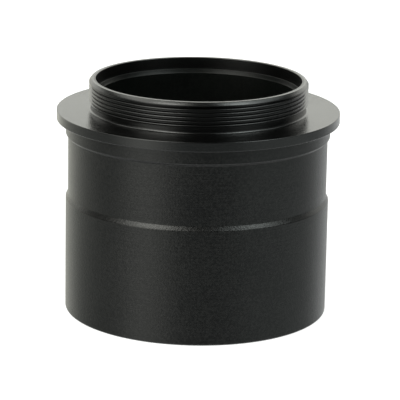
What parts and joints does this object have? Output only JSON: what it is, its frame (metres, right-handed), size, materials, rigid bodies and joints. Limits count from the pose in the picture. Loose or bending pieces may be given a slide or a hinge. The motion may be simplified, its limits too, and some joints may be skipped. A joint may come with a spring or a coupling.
{
  "type": "barlow lens",
  "caption": "Two-inch Barlow lens: plain nose barrel, camera thread ring with flange, glare stop and a screw-in lens cell with a negative doublet.",
  "frame": {"origin": "middle of the nose end, the face that the part stands on", "axes": "+Z along the optical axis towards the camera thread; the two spanner slots of the cell and of the retaining ring lie on X"},
  "size_m": [0.0542, 0.0542, 0.0452],
  "materials": {
    "barrel_black": "satin black anodised, finely turned",
    "ring_black": "satin black anodised, finely turned",
    "stop_matt_black": "matt black",
    "cell_black": "satin black anodised",
    "crown_glass": "polished, green anti-reflection coating",
    "spacer_black": "black anodised",
    "flint_glass": "polished, green anti-reflection coating",
    "gasket_nylon": "matt black nylon",
    "retainer_black": "black anodised"
  },
  "bodies": {
    "barrel": {"nose_barrel": "barrel_black"},
    "stop": {"glare_stop": "stop_matt_black"},
    "camera_ring": {"camera_thread_ring": "ring_black"},
    "optics": {"front_lens": "crown_glass", "lens_spacer": "spacer_black", "rear_lens": "flint_glass"},
    "cell": {"lens_cell": "cell_black"},
    "gasket": {"lens_gasket": "gasket_nylon"},
    "retainer": {"retaining_ring": "retainer_black"}
  },
  "joints": [
    {"name": "camera_ring_travel", "type": "slide", "parent": "barrel", "child": "stop", "axis": [0, 0, 1], "range_m": [0, 0.0045]},
    {"name": "camera_ring_turn", "type": "hinge", "parent": "stop", "child": "camera_ring", "pos_m": [0, 0, 0.0375], "axis": [0, 0, 1], "range_deg": [0, 2160]},
    {"name": "cell_travel", "type": "slide", "parent": "barrel", "child": "optics", "axis": [0, 0, -1], "range_m": [0, 0.00975]},
    {"name": "cell_turn", "type": "hinge", "parent": "optics", "child": "cell", "pos_m": [0, 0, 0.006], "axis": [0, 0, -1], "range_deg": [0, 4680]},
    {"name": "retainer_travel", "type": "slide", "parent": "cell", "child": "gasket", "axis": [0, 0, -1], "range_m": [0, 0.0015]},
    {"name": "retainer_turn", "type": "hinge", "parent": "gasket", "child": "retainer", "pos_m": [0, 0, 0.0064], "axis": [0, 0, -1], "range_deg": [0, 1080]}
  ],
  "couplings": [
    {"joint": "camera_ring_travel", "follows": "camera_ring_turn", "m_per_rad": 0.00011937},
    {"joint": "cell_travel", "follows": "cell_turn", "m_per_rad": 0.00011937},
    {"joint": "retainer_travel", "follows": "retainer_turn", "m_per_rad": 0.000079577}
  ]
}
